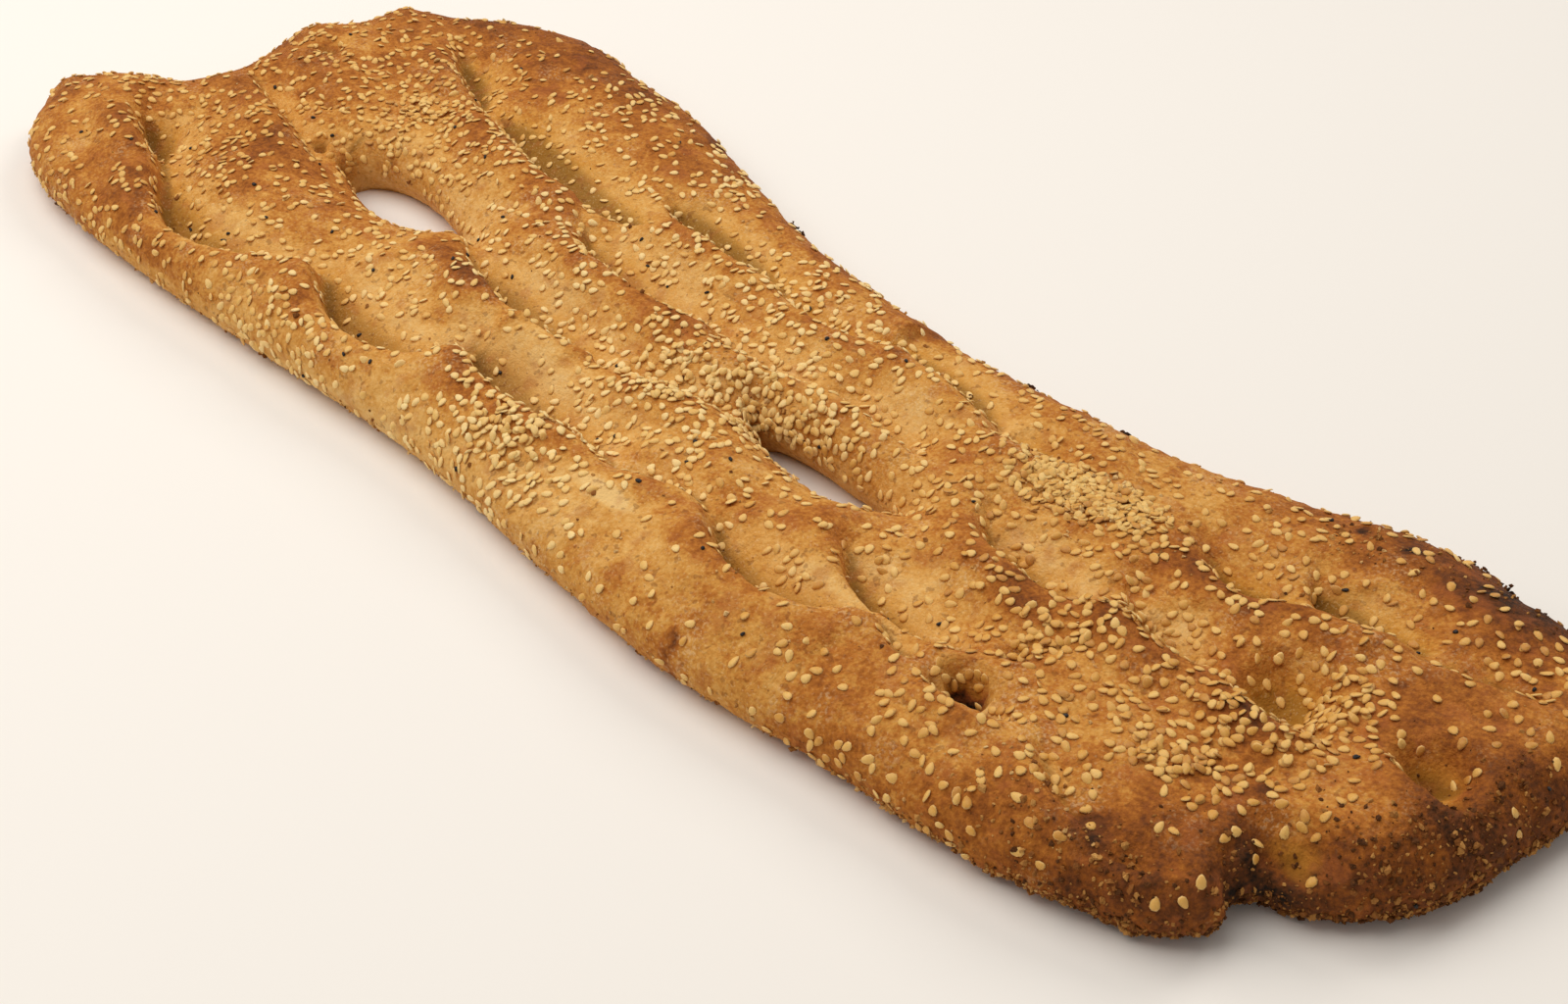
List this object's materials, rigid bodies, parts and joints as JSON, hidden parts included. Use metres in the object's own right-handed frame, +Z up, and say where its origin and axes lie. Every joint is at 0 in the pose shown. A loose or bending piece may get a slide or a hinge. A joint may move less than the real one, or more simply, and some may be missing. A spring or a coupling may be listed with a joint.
{
  "type": "barbari bread",
  "caption": "Long flat leavened loaf with rows of finger furrows pressed into soft ropes, two tears right through it, a browned crust and a scatter of sesame seeds.",
  "frame": {"origin": "on the flat underside, below the middle of the loaf's bounding box", "axes": "+X along the loaf towards its browner end, +Y across it, +Z up out of the crust"},
  "size_m": [0.5975, 0.2117, 0.0289],
  "materials": {
    "crust": "matte baked crust, golden to dark brown"
  },
  "bodies": {
    "root": {"bread": "crust"}
  },
  "joints": []
}
